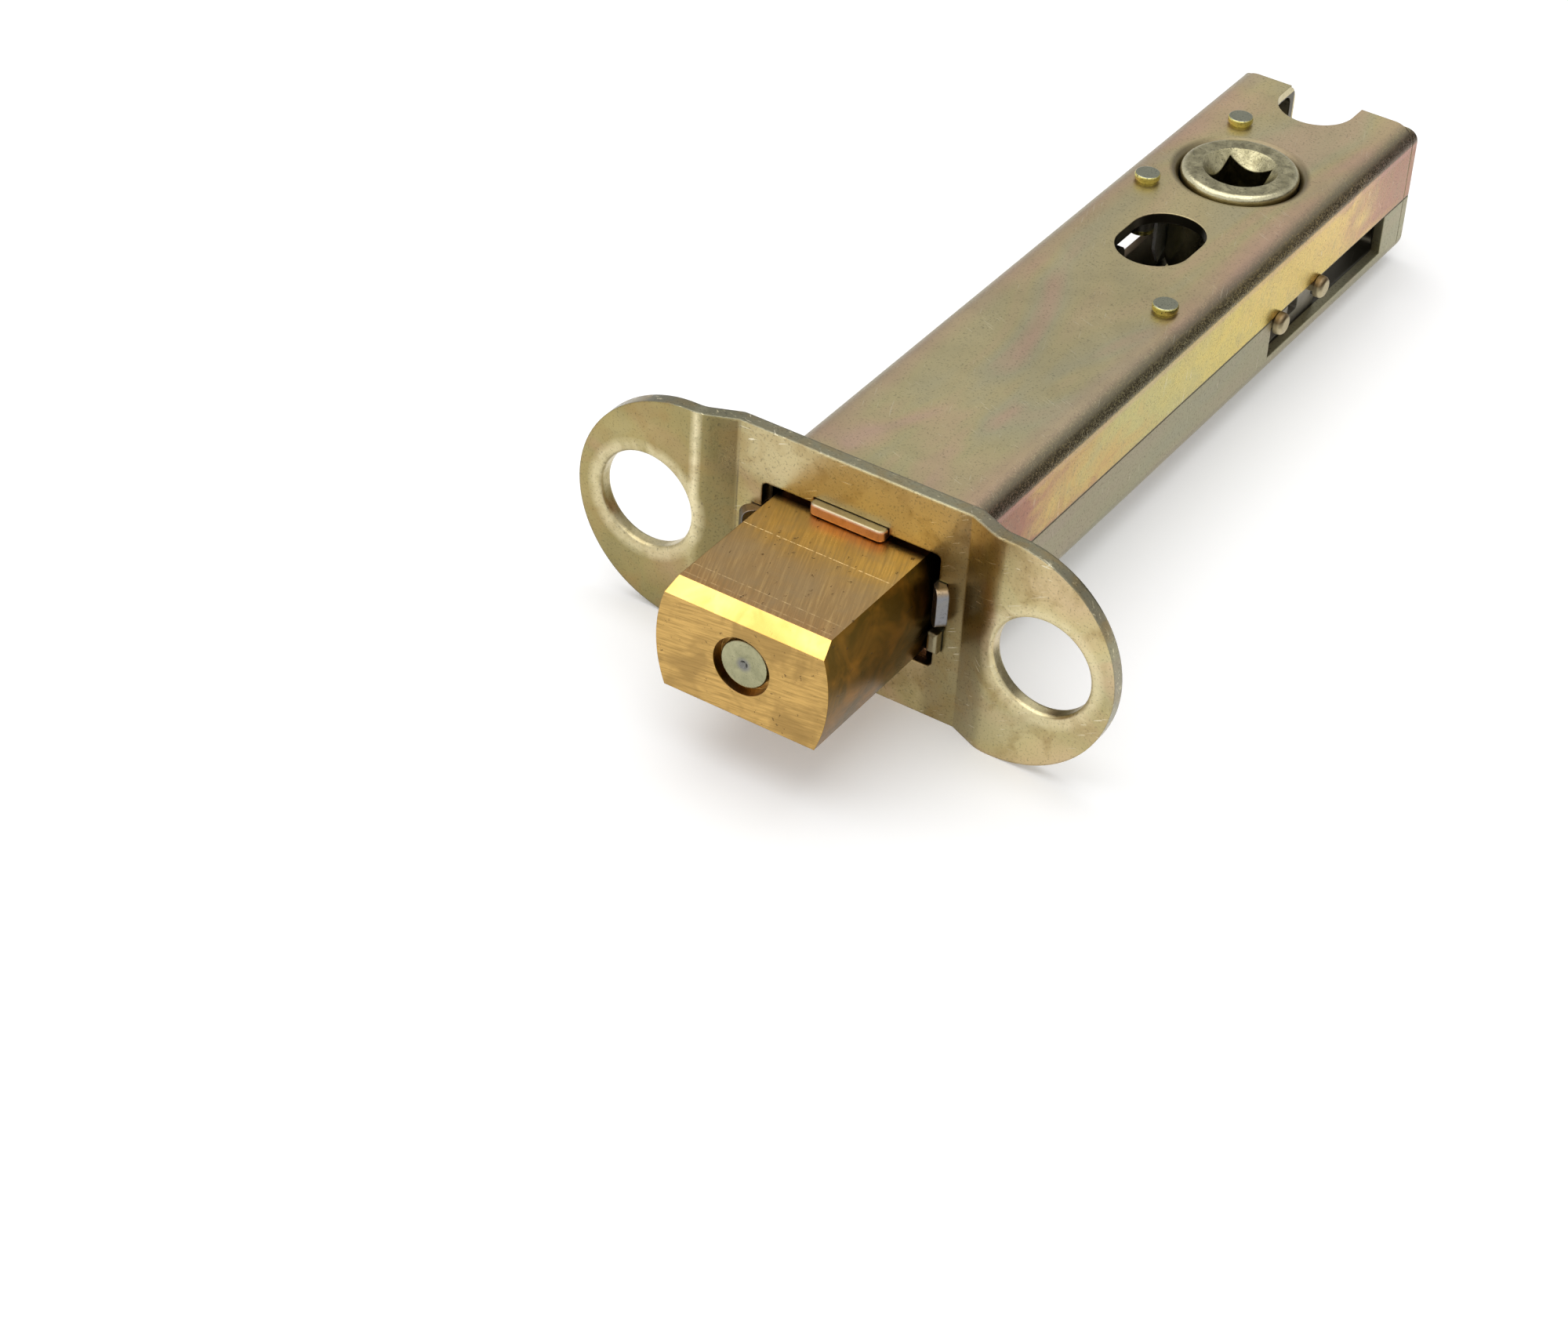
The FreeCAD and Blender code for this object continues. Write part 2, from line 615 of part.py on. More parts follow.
def drive_lugs():
    """Two lugs turned inward from the right strip, with the follower's peg between them."""
    z0 = ARM_LOW + ARM_T + LUG_LEVEL_GAP
    z1 = PEG_TOP + RUN_GAP
    x0 = HUB_WAIST_R + LUG_SIDE_GAP
    slack = peg_slack()
    lugs = box(x0, STRIP_IN, PEG_Y - slack - LUG_T, PEG_Y - slack, z0, z1)
    return lugs.fuse(box(x0, STRIP_IN, PEG_Y + slack, PEG_Y + slack + LUG_T, z0, z1))


def drive_slide():
    slide = slide_channel().fuse(front_lug()).fuse(drive_lug_root())
    slide = slide.cut(drive_window()).fuse(drive_lugs())
    for side in (-1, 1):
        for y in (STUD_FRONT_Y, STUD_REAR_Y):
            slide = slide.cut(bar_x(STUD_R, y, STUD_Z, side * (STRIP_IN - 1), side * (STRIP_OUT + 1)))
    return one_solid(slide)


def guide_stud(y, side):
    """A stud riveted into a slide strip, its head outside the case."""
    face = CASE_HALF + SEAT_GAP
    shank = bar_x(STUD_R, y, STUD_Z, STRIP_IN, face)
    head = ball_head(STUD_HEAD_R, STUD_HEAD_T, Vec(face, y, STUD_Z), X_AXIS, STUD_DOME_R)
    stud = one_solid(shank.fuse(head))
    return stud if side > 0 else mirror_x(stud)


def hub_body():
    """The follower's turned form, drawn as a half section and revolved."""
    top = CASE_TOP + HUB_PROUD
    shoulder = INNER_TOP - COLLAR_DEEP - RUN_GAP
    points = [
        (0, -top), (HUB_JOURNAL_R, -top), (HUB_JOURNAL_R, -shoulder), (HUB_BARREL_R, -shoulder),
        (HUB_BARREL_R, WAIST_LOW), (HUB_WAIST_R, WAIST_LOW), (HUB_WAIST_R, WAIST_HIGH),
        (HUB_BARREL_R, WAIST_HIGH), (HUB_BARREL_R, shoulder), (HUB_JOURNAL_R, shoulder),
        (HUB_JOURNAL_R, top), (0, top),
    ]
    radii = [0, HUB_RIM_ROUND, 0, 0, 0, 0, 0, 0, 0, 0, HUB_RIM_ROUND, 0]
    face = turned(flat_face(points, radii), X_AXIS, Z_AXIS, Vec(0, SPINDLE_Y, 0))
    return face.revolve(Vec(0, SPINDLE_Y, 0), Z_AXIS, 360)


def hub_cup():
    """The cone that leads the spindle into the square."""
    top = CASE_TOP + HUB_PROUD
    low_r = SPINDLE_SQ / 2
    return Part.makeCone(low_r, HUB_CUP_R, HUB_CUP_DEEP, Vec(0, SPINDLE_Y, top - HUB_CUP_DEEP), Z_AXIS)


def hub_arm():
    """The arm and its peg, drawn pointing along +X and turned to the thrown position."""
    arm_top = ARM_LOW + ARM_T
    tip = PEG_RADIUS
    root = HUB_WAIST_R - ARM_ROOT_INSET
    points = [
        (0, SPINDLE_Y - root), (tip, SPINDLE_Y - PEG_R),
        (tip, SPINDLE_Y + PEG_R), (0, SPINDLE_Y + root),
    ]
    arm = flat_face(points).extrude(Vec(0, 0, ARM_T)).translated(Vec(0, 0, ARM_LOW))
    arm = arm.fuse(bar_z(PEG_R, tip, SPINDLE_Y, ARM_LOW, arm_top))
    arm = arm.fuse(bar_z(PEG_R, tip, SPINDLE_Y, ARM_LOW, PEG_TOP))
    arm.rotate(Vec(0, SPINDLE_Y, 0), Z_AXIS, -HALF_TURN)
    return arm


def follower_hub():
    half = SPINDLE_SQ / 2
    high = CASE_TOP + HUB_PROUD + 1
    hub = hub_body().fuse(hub_arm())
    hub = hub.cut(box(-half, half, SPINDLE_Y - half, SPINDLE_Y + half, -high, high))
    return one_solid(hub.cut(hub_cup()).cut(mirror_z(hub_cup())))


def rivet_head(x, y, sign):
    """A disc on a short collar, as the setting tool leaves it."""
    face = sign * CASE_TOP
    far = sign * (CASE_TOP + RIVET_COLLAR_T)
    low, high = sorted((face, far))
    neck = bar_z(RIVET_COLLAR_R, x, y, low, high)
    return neck.fuse(ball_head(RIVET_HEAD_R, RIVET_HEAD_T, Vec(x, y, far), Vec(0, 0, sign), RIVET_ROUND))


def case_rivet(name):
    """Headed outside the upper cover, and at its other end outside the lower one or, for the side one, inside."""
    x, y = rivet_spot(name)
    if name == "side":
        shank = bar_z(RIVET_R, x, y, SHORT_RIVET_LOW, CASE_TOP)
        end = bar_z(SHORT_SLEEVE_R, x, y, SHORT_RIVET_LOW, SHORT_RIVET_LOW + SHORT_RIVET_END_T)
    else:
        shank = bar_z(RIVET_R, x, y, -CASE_TOP, CASE_TOP)
        end = rivet_head(x, y, -1)
    return one_solid(shank.fuse(rivet_head(x, y, 1)).fuse(end))


def spacer_sleeve(name):
    """A tube between the covers, or a short one under the upper cover for the side rivet."""
    x, y = rivet_spot(name)
    radius, low = SLEEVE_R, -INNER_TOP
    if name == "side":
        radius, low = SHORT_SLEEVE_R, SHORT_RIVET_LOW + SHORT_RIVET_END_T
    sleeve = bar_z(radius, x, y, low, INNER_TOP)
    return one_solid(sleeve.cut(bar_z(RIVET_R + SEAT_GAP, x, y, low - 1, INNER_TOP + 1)))


def guide_tab():
    """The guide strip's tab, which passes through the flange and stands a little proud of it."""
    half = TAB_TOP_WIDE / 2
    y0 = PANEL_FRONT - TAB_PROUD
    tab = box(-half, half, y0, PANEL_BACK + TAB_ROUND, BOLT_TOP + RUN_GAP, INNER_TOP)
    corners = [e for e in tab.Edges if e.BoundBox.ZLength > 1 and abs(e.BoundBox.YMax - y0) < 1e-6]
    tab = tab.makeFillet(TAB_CORNER, corners)
    rim = [e for e in tab.Edges if e.BoundBox.ZLength < 1e-6 and e.BoundBox.YMax < PANEL_FRONT]
    return tab.makeFillet(TAB_EDGE_R, rim)


def bolt_guide(sign):
    """A strip between the bolt and a cover, with a rounded lead for the bolt at its rear."""
    half = INNER_HALF - GUIDE_SIDE_GAP
    low = BOLT_TOP + RUN_GAP
    strip = box(-half, half, PANEL_BACK, PANEL_BACK + GUIDE_LEN, low, INNER_TOP)
    far = PANEL_BACK + GUIDE_LEN
    lead = [e for e in strip.Edges if abs(e.BoundBox.ZMax - low) < 1e-6 and abs(e.BoundBox.YMin - far) < 1e-6]
    strip = one_solid(strip.makeFillet(GUIDE_LEAD_R, lead).fuse(guide_tab()))
    return strip if sign > 0 else mirror_z(strip)


def polar(centre, radius, degrees):
    turn = math.radians(degrees)
    return Vec(centre.x + radius * math.cos(turn), centre.y + radius * math.sin(turn), 0)


def pillar_angle(pillar, hub, pillar_r, hub_r, way):
    """Direction from the pillar to where the spring's straight leaves it."""
    towards = math.degrees(math.atan2(hub.y - pillar.y, hub.x - pillar.x))
    return towards + way * math.degrees(math.acos((pillar_r + hub_r) / (hub - pillar).Length))


def spring_side(offset):
    """One face of the spring, from its free front end to the hook round the rear sleeve."""
    hub = Vec(0, SPINDLE_Y, 0)
    front = Vec(*rivet_spot("side"), 0)
    rear = Vec(*rivet_spot("rear"), 0)
    gap = SEAT_GAP + SPRING_T / 2
    front_r = SHORT_SLEEVE_R + gap
    rear_r = SLEEVE_R + gap
    hub_r = HUB_BARREL_R + gap
    a = pillar_angle(front, hub, front_r, hub_r, -1)
    b = pillar_angle(rear, hub, rear_r, hub_r, 1)
    large = hub_r + offset
    touch = polar(front, front_r - offset, a)
    middle = [polar(hub, large, d + 180) for d in (a, (a + b) / 2, b)]
    free = touch + (touch - middle[0]).normalize() * SPRING_REST_LEN
    hook = [polar(rear, rear_r - offset, b + k * SPRING_HOOK / 2) for k in range(3)]
    edges = [Part.LineSegment(free, middle[0]).toShape(), Part.Arc(*middle).toShape()]
    edges += [Part.LineSegment(middle[2], hook[0]).toShape(), Part.Arc(*hook).toShape()]
    return edges, free, hook[2]


def hub_brake_spring():
    """A leaf from the side sleeve to the rear one, bowed round the follower's barrel."""
    near, near_start, near_end = spring_side(-SPRING_T / 2)
    far, far_start, far_end = spring_side(SPRING_T / 2)
    caps = [Part.LineSegment(near_end, far_end).toShape(), Part.LineSegment(far_start, near_start).toShape()]
    wire = Part.Wire(Part.__sortEdges__(near + far + caps))
    leaf = Part.Face(wire).extrude(Vec(0, 0, SPRING_HIGH - SPRING_LOW)).translated(Vec(0, 0, SPRING_LOW))
    front = leaf.BoundBox.YMin
    corner = [
        (front - 1, SPRING_LOW - 1), (front + SPRING_CORNER_BACK, SPRING_LOW - 1),
        (front + SPRING_CORNER_BACK, SPRING_LOW), (front, SPRING_LOW + SPRING_CORNER_UP),
        (front - 1, SPRING_LOW + SPRING_CORNER_UP),
    ]
    cutter = turned(flat_face(corner), Y_AXIS, Z_AXIS, Vec(-CASE_HALF, 0, 0))
    return one_solid(leaf.cut(cutter.extrude(Vec(CASE_HALF, 0, 0))))


def all_pieces():
    pieces = {
        "forend_flange": forend_flange(),
        "upper_case_cover": upper_case_cover(),
        "lower_case_cover": lower_case_cover(),
        "upper_bolt_guide": bolt_guide(1),
        "lower_bolt_guide": bolt_guide(-1),
        "brass_bolt": brass_bolt(),
        "bolt_stem": bolt_stem(),
        "stem_washer": stem_washer(),
        "drive_slide": drive_slide(),
        "follower_hub": follower_hub(),
        "hub_brake_spring": hub_brake_spring(),
    }
    for name in RIVETS:
        pieces["case_rivet_" + name] = case_rivet(name)
        pieces["spacer_sleeve_" + name] = spacer_sleeve(name)
    for side, word in ((1, "right"), (-1, "left")):
        pieces["guide_stud_front_" + word] = guide_stud(STUD_FRONT_Y, side)
        pieces["guide_stud_rear_" + word] = guide_stud(STUD_REAR_Y, side)
    return pieces


def main():
    os.makedirs("parts", exist_ok=True)
    for name, shape in all_pieces().items():
        shape.exportStep("parts/" + name + ".step")
        state = "valid" if shape.isValid() else "NOT VALID"
        print(name, len(shape.Solids), "solid", state, round(shape.Volume, 1))


main()
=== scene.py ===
import math
import bpy
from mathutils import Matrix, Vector

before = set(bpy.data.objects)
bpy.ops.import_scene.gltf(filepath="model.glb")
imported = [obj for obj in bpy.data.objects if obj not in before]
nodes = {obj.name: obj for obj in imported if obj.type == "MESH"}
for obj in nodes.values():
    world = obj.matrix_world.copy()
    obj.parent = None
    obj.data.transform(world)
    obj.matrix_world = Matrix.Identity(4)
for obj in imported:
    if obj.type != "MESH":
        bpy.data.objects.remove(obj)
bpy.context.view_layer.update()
print("frame loaded:", len(nodes), "pieces")


# shader wiring: one class for a value that flows, one for a material's tree

def plug(tree, socket, value):
    if isinstance(value, Flow):
        tree.links.new(value.out, socket)
    elif value is not None:
        socket.default_value = value


class Flow:
    def __init__(self, tree, out):
        self.tree = tree
        self.out = out

    def maths(self, operation, *others, clamp=False):
        node = self.tree.nodes.new("ShaderNodeMath")
        node.operation = operation
        node.use_clamp = clamp
        for index, value in enumerate((self,) + others):
            plug(self.tree, node.inputs[index], value)
        return Flow(self.tree, node.outputs[0])

    def __add__(self, other):
        return self.maths("ADD", other)

    def __sub__(self, other):
        return self.maths("SUBTRACT", other)

    def __rsub__(self, other):
        return self * -1 + other

    def __mul__(self, other):
        return self.maths("MULTIPLY", other)

    def __truediv__(self, other):
        return self.maths("DIVIDE", other)

    def __abs__(self):
        return self.maths("ABSOLUTE")

    __radd__ = __add__
    __rmul__ = __mul__

    def over(self, edge, soft):  # 0 below the edge, 1 above it, softly
        return ((self - edge) / soft + 0.5).maths("MULTIPLY", 1.0, clamp=True)

    def under(self, edge, soft):
        return 1 - self.over(edge, soft)


class Finish:
    def __init__(self, name):
        self.material = bpy.data.materials.new(name)
        self.material.use_nodes = True
        self.tree = self.material.node_tree
        self.tree.nodes.clear()

    def node(self, kind, settings=None, inputs=None, out=0):
        node = self.tree.nodes.new(kind)
        for key, value in (settings or {}).items():
            if key == "stops":
                self.setStops(node.color_ramp, value)
            else:
                setattr(node, key, value)
        for key, value in (inputs or {}).items():
            plug(self.tree, node.inputs[key], value)
        return Flow(self.tree, node.outputs[out]) if node.outputs else node

    def setStops(self, ramp, stops):
        while len(ramp.elements) < len(stops):
            ramp.elements.new(0.5)
        for element, (place, colour) in zip(ramp.elements, stops):
            element.position = place
            element.color = (*colour, 1.0)

    def mm(self):  # where the point is, in millimetres
        place = self.node("ShaderNodeTexCoord", out=3)
        return self.node("ShaderNodeVectorMath", {"operation": "SCALE"}, {0: place, 3: 1000.0})

    def xyz(self, place):
        first = self.node("ShaderNodeSeparateXYZ", None, {0: place})
        outs = first.out.node.outputs
        return [Flow(self.tree, outs[i]) for i in range(3)]

    def noise(self, place, name, **changes):  # the place is turned, stretched and moved, then the noise is drawn
        form = {**plainPattern, **patterns[name], **changes}
        if form["turn"]:
            settings = {"rotation_type": "EULER_XYZ"}
            place = self.node("ShaderNodeVectorRotate", settings, {"Vector": place, "Rotation": form["turn"]})
        inputs = {0: place, 1: form["shift"], 3: form["stretch"]}
        place = self.node("ShaderNodeMapping", {"vector_type": "POINT"}, inputs)
        inputs = {"Vector": place, "Scale": form["scale"], "Detail": form["detail"],
                  "Roughness": form["rough"], "Distortion": form["warp"]}
        return self.node("ShaderNodeTexNoise", {"noise_dimensions": "3D"}, inputs)

    def ramp(self, value, stops):
        return self.node("ShaderNodeValToRGB", {"stops": stops}, {0: value})

    def mix(self, first, second, amount, blend="MIX"):
        settings = {"data_type": "RGBA", "blend_type": blend, "clamp_factor": True}
        return self.node("ShaderNodeMix", settings, {0: amount, 6: colour4(first), 7: colour4(second)}, out=2)

    def facing(self):  # the face's own direction, for what differs from side to side
        return self.xyz(self.node("ShaderNodeNewGeometry", out=1))

    def finish(self, look, colour, roughness, height):
        normal = self.node("ShaderNodeBevel", {"samples": 6}, {"Radius": look["edge"]})
        bumps = {"Strength": look["bump"], "Distance": look["bumpDepth"], "Height": height, "Normal": normal}
        surface = {"Base Color": colour4(colour), "Roughness": roughness,
                   "Metallic": look["metallic"], "Normal": self.node("ShaderNodeBump", None, bumps)}
        shader = self.node("ShaderNodeBsdfPrincipled", None, surface)
        self.node("ShaderNodeOutputMaterial", None, {"Surface": shader})
        return self.material


def colour4(colour):
    return (*colour, 1.0) if isinstance(colour, tuple) and len(colour) == 3 else colour


def grey(value):
    return (value, value, value)


def dress(node, material):
    slots = nodes[node].data.materials
    if not slots:
        slots.append(material)
    for index in range(len(slots)):
        slots[index] = material


# noise patterns of all the finishes

plainPattern = {"turn": None, "stretch": (1.0, 1.0, 1.0), "shift": (0.0, 0.0, 0.0),
                "scale": 1.0, "detail": 2.0, "rough": 0.5, "warp": 0.0}
patterns = {
    "sheetCloud": {"scale": 0.075, "detail": 3.0, "rough": 0.55, "warp": 0.4},
    "sheetBlotch": {"shift": (31.0, 4.0, 9.0), "scale": 0.32, "detail": 3.0, "rough": 0.6, "warp": 0.5},
    "sheetGrain": {"scale": 4.2, "rough": 0.6},
    "sheetDrift": {"warp": 0.8},
    "bendFlecks": {"scale": 4.5, "detail": 3.0, "rough": 0.75},
    "sideBrush": {"turn": (0.45, 0.0, 0.0), "stretch": (0.3, 4.0, 0.22), "detail": 3.0, "rough": 0.6},
    "sideSwirl": {"stretch": (1.0, 0.8, 1.4), "shift": (5.0, 2.0, 8.0), "scale": 0.16, "warp": 1.5},
    "sideHatch": {"turn": (0.38, 0.0, 0.0), "stretch": (0.3, 6.5, 0.4), "shift": (0.0, 3.0, 1.0)},
    "rimNicks": {"stretch": (1.2, 2.2, 1.2), "shift": (2.0, 7.0, 4.0), "detail": 3.0, "rough": 0.7},
    "scratchLines": {"stretch": (0.45, 5.5, 0.45), "detail": 1.0, "rough": 0.4},
    "scratchPlaces": {"scale": 0.2, "detail": 1.0},
    "boltBrush": {"turn": (0.0, 0.0, -0.34), "stretch": (3.4, 0.16, 3.4), "detail": 4.0, "rough": 0.65},
    "boltCross": {"stretch": (0.12, 3.0, 3.0), "detail": 3.0, "rough": 0.6},
    "boltCloud": {"scale": 0.22, "detail": 3.0, "rough": 0.6, "warp": 0.6},
    "boltPits": {"stretch": (1.0, 0.5, 1.0), "shift": (3.0, 8.0, 1.0), "scale": 1.5, "detail": 3.0, "rough": 0.7},
    "boltSaw": {"turn": (0.0, 0.12, 0.0), "stretch": (0.25, 3.0, 4.2), "detail": 4.0, "rough": 0.7},
    "scribeBreaks": {"stretch": (1.3, 0.0, 0.0), "detail": 3.0, "rough": 0.7},
    "steelCloud": {"detail": 3.0, "rough": 0.6, "warp": 0.5},
    "steelGrain": {"scale": 6.0, "rough": 0.6},
}


# yellow-passivated sheet

caseForm = {  # places and sizes on the case, in millimetres
    "end": 102.3,
    "seamZ": -0.8,
    "seamHalf": 0.14,
    "sideFrom": 10.25,
    "topFrom": 7.0,
    "tabFront": 1.5,
    "innerHalf": 9.95,
    "innerTop": 7.35,
    "innerEnd": 102.0,
    "bendFrom": 9.55,
    "bendHigh": 6.12,
    "fringeLow": 5.45,
    "fringeHigh": 6.1,
    "fringeOut": 10.5,
    "glowFrom": 7.8,
    "glowTo": 9.8,
    "glowHigh": 7.9,
    "frontEnds": 15.0,
    "rearStarts": 95.0,
    "hubY": 80.2,
    "hubRimRadius": 5.95,
    "collarRadius": 7.55,
    "slotY": 62.3,
    "slotReach": 1.55,
    "slotCutRadius": 4.23,
    "slotCutHigh": 8.3,
}
flangeForm = {  # the same for the flange
    "holeX": 22.5,
    "lipRadius": 6.6,
    "outlineRadius": 7.5,
    "bendX": 17.0,
    "foldX": 12.95,
    "leftX": -10.0,
    "scratchesFrom": -12.9,
    "openingHigh": 7.0,
    "openingHalf": 13.0,
    "besideFrom": 9.4,
    "besideTo": 15.5,
    "besideHigh": 7.5,
}


def passivated(name, look):
    p = Finish(name)
    mm = p.mm()
    x, y, z = p.xyz(mm)
    nx, ny, nz = p.facing()
    cloud = p.noise(mm, "sheetCloud")
    blotch = p.noise(mm, "sheetBlotch")
    grain = p.noise(mm, "sheetGrain")
    side = abs(nx).over(0.75, 0.3) * abs(x).over(caseForm["sideFrom"], 0.2)
    colour = p.mix(look["low"], look["high"], cloud.over(0.5, 0.35))
    colour = p.mix(colour, look["along"](p, y), look["alongAmount"])
    drift = p.noise(mm, "sheetDrift", stretch=look["tintStretch"])
    colour = p.mix(colour, p.ramp(drift, look["sheen"]), look["tint"])
    colour = p.mix(colour, sideColour(p, look, mm, y, z, drift), side * look["sideAmount"])
    if look["flange"]:
        colour = flangeWear(p, look, mm, colour, (x, z), (nx, nz), blotch)
    tab = p.mix(look["tabColour"], look["tabEnd"], (ny * -1).over(0.6, 0.2))
    colour = p.mix(colour, tab, y.under(caseForm["tabFront"], 0.1) * look["tab"])
    colour = p.mix(colour, look["blotchColour"], blotch.over(0.6, 0.22) * look["blotch"])
    colour = p.mix(colour, grey(0.03), grain.over(look["speckEdge"], 0.14) * look["speck"])
    # a painted shade line along the gap between the upper and lower covers
    seam = side * abs(z - caseForm["seamZ"]).under(caseForm["seamHalf"], 0.1)
    colour = p.mix(colour, look["insideColour"], seam * look["seam"])
    # the long bends are darkened as a painted reflection, broken by the crazed plating's pale flecks
    bend = bendMask(x, z) * look["bend"]
    flecks = p.noise(mm, "bendFlecks").over(0.58, 0.12)
    colour = p.mix(colour, look["bendColour"], bend * (1 - flecks * 0.6))
    colour = p.mix(colour, look["fringeColour"], fringeMask(x, z) * look["fringe"])
    marks = scratches(p, mm, look["scratchTurns"])
    if look["flange"]:  # the left ear is hardly scratched
        marks = marks * x.over(flangeForm["scratchesFrom"], 0.5)
    colour = p.mix(colour, look["scratchColour"], marks * look["scratch"])
    # a painted shade ring on the cover round the hub
    collar = hubDistance(x, y).under(caseForm["collarRadius"], 0.5) * abs(z).over(caseForm["topFrom"], 0.2)
    colour = p.mix(colour, look["collarColour"], collar * look["collar"])
    # the walls within the case and the slot's cut edge are painted near black: painted shade
    colour = p.mix(colour, look["insideColour"], insideMask(x, y, z) * look["inside"])
    smooth = side * look["sideSmooth"]
    rough = look["rough"] + (cloud - 0.5) * 0.16 + (grain - 0.5) * 0.12 - marks * 0.05 + bend * flecks * 0.16 - smooth
    height = grain * 0.6 + blotch * 0.8 + marks * 0.6 + bend * flecks * 2.5
    return p.finish(look, colour, rough, height)


def hubDistance(x, y):
    along = y - caseForm["hubY"]
    return (x * x + along * along).maths("SQRT")


def insideMask(x, y, z):  # 1 on the walls within the case and on the slot's cut edge, which get a painted shade
    walls = abs(x).under(caseForm["innerHalf"], 0.1) * abs(z).under(caseForm["innerTop"], 0.1)
    walls = walls * y.under(caseForm["innerEnd"], 0.1)
    return walls.maths("MAXIMUM", slotWall(x, y, z))


def bendMask(x, z):  # 1 on the case's long bends, where the plating is crazed and a dark reflection is painted
    return abs(x).over(caseForm["bendFrom"], 1.3) * abs(z).over(caseForm["bendHigh"], 0.25)


def fringeMask(x, z):  # a line of colour under each long bend and a softer one above it
    line = abs(z).over(caseForm["fringeLow"], 0.5) * abs(z).under(caseForm["fringeHigh"], 0.3)
    line = line * abs(x).over(caseForm["fringeOut"], 0.4)
    glow = abs(x).over(caseForm["glowFrom"], 1.4) * abs(x).under(caseForm["glowTo"], 0.8)
    glow = glow * abs(z).over(caseForm["glowHigh"], 0.6)
    return (line * 0.5 + glow * 0.35).maths("MINIMUM", 1.0)


def slotWall(x, y, z):  # 1 on the cut edge of the bolt-through slot
    ahead = (abs(y - caseForm["slotY"]) - caseForm["slotReach"]).maths("MAXIMUM", 0.0)
    reach = (x * x + ahead * ahead).maths("SQRT")
    return reach.under(caseForm["slotCutRadius"], 0.06) * abs(z).under(caseForm["slotCutHigh"], 0.1)


def sideColour(p, look, mm, y, z, drift):
    brush = p.noise(mm, "sideBrush")
    swirl = p.noise(mm, "sideSwirl")
    slanted = y + z * 1.2 + (drift - 0.5) * look["driftReach"]
    slanted = slanted + (swirl - 0.5) * look["swirlReach"] + (brush - 0.5) * look["brushReach"]
    colour = p.ramp(slanted / caseForm["end"], look["sideStops"])
    hatch = p.noise(mm, "sideHatch")
    colour = p.mix(colour, look["hatchColour"], hatch.over(0.62, 0.1) * drift.over(0.46, 0.12) * 0.5)
    ends = y.under(caseForm["frontEnds"], 9.0) + y.over(caseForm["rearStarts"], 7.0)
    ends = ends.maths("MINIMUM", 1.0)
    return p.mix(colour, look["endTone"], ends, "MULTIPLY")


def flangeWear(p, look, mm, colour, place, face, blotch):  # painted shade on the fold slopes and the crease, painted highlight on the left fold and the hole lips, a stain above the opening that is partly painted highlight, painted shade beside it, and the rubbed rim
    x, z = place
    nx, nz = face
    slope = abs(nx).over(0.25, 0.2) * abs(nx).under(0.75, 0.1)
    colour = p.mix(colour, look["foldShade"], slope * 0.5)
    colour = p.mix(colour, look["leftTone"], x.under(flangeForm["leftX"], 5.0), "MULTIPLY")
    # a painted highlight along the left ear's convex fold
    shine = abs(x + flangeForm["bendX"]).under(0.35, 0.7) * blotch.over(0.4, 0.3) * z.over(-4.0, 8.0)
    colour = p.mix(colour, look["foldShine"], shine)
    # a thin painted shade line in the crease at the left panel's edge
    colour = p.mix(colour, look["foldLine"], abs(x + flangeForm["foldX"]).under(0.1, 0.12) * 0.6)
    # above the opening: a pale gold stain, partly a painted highlight
    above = z.over(flangeForm["openingHigh"], 2.0) * abs(x).under(flangeForm["openingHalf"], 4.0)
    aboveColour = p.mix(look["aboveLeft"], look["aboveRight"], x.over(0.0, 14.0))
    colour = p.mix(colour, aboveColour, above * (0.35 + blotch * 0.7))
    # right of the opening the panel is darkened: a painted dark reflection
    beside = x.over(flangeForm["besideFrom"], 1.0) * x.under(flangeForm["besideTo"], 2.5)
    beside = beside * z.under(flangeForm["besideHigh"], 2.5)
    colour = p.mix(colour, look["besideOpening"], beside * 0.6)
    across = abs(x) - flangeForm["holeX"]
    fromHole = (across * across + z * z).maths("SQRT")
    outward = (nz.over(0.5, 0.3) + abs(nx).over(0.85, 0.2)).maths("MINIMUM", 1.0)
    outline = fromHole.over(flangeForm["outlineRadius"], 0.5) * outward
    colour = p.mix(colour, look["rimColour"], outline * 0.75)
    nicks = p.noise(mm, "rimNicks").over(0.64, 0.06)
    colour = p.mix(colour, look["foldShine"], outline * nicks * 0.6)
    # a painted highlight round the ear holes' lips
    lip = fromHole.under(flangeForm["lipRadius"], 0.8) * blotch.over(0.35, 0.3)
    return p.mix(colour, look["foldShine"], lip * 0.5)


def evenTone(colour):
    return lambda p, y: colour


def rearBlush(p, y):  # the top runs from olive in front to tan by the rivets, and is palest at the rear
    return p.ramp(y / caseForm["end"], [(0.0, (0.25, 0.215, 0.11)), (0.25, (0.45, 0.36, 0.21)),
                                        (0.60, (0.53, 0.40, 0.22)), (0.85, (0.60, 0.46, 0.25)),
                                        (1.0, (0.86, 0.68, 0.35))])


def scratches(p, mm, turns):
    total = None
    for index, turn in enumerate(turns):
        lines = p.noise(mm, "scratchLines", turn=turn, shift=(7.3 * index, 1.1, 3.7))
        place = p.noise(mm, "scratchPlaces", shift=(11.0 * index, 5.0, 2.0))
        marks = lines.over(0.72, 0.04) * place.over(0.56, 0.12)
        total = marks if total is None else total + marks
    return total.maths("MULTIPLY", 1.0, clamp=True)


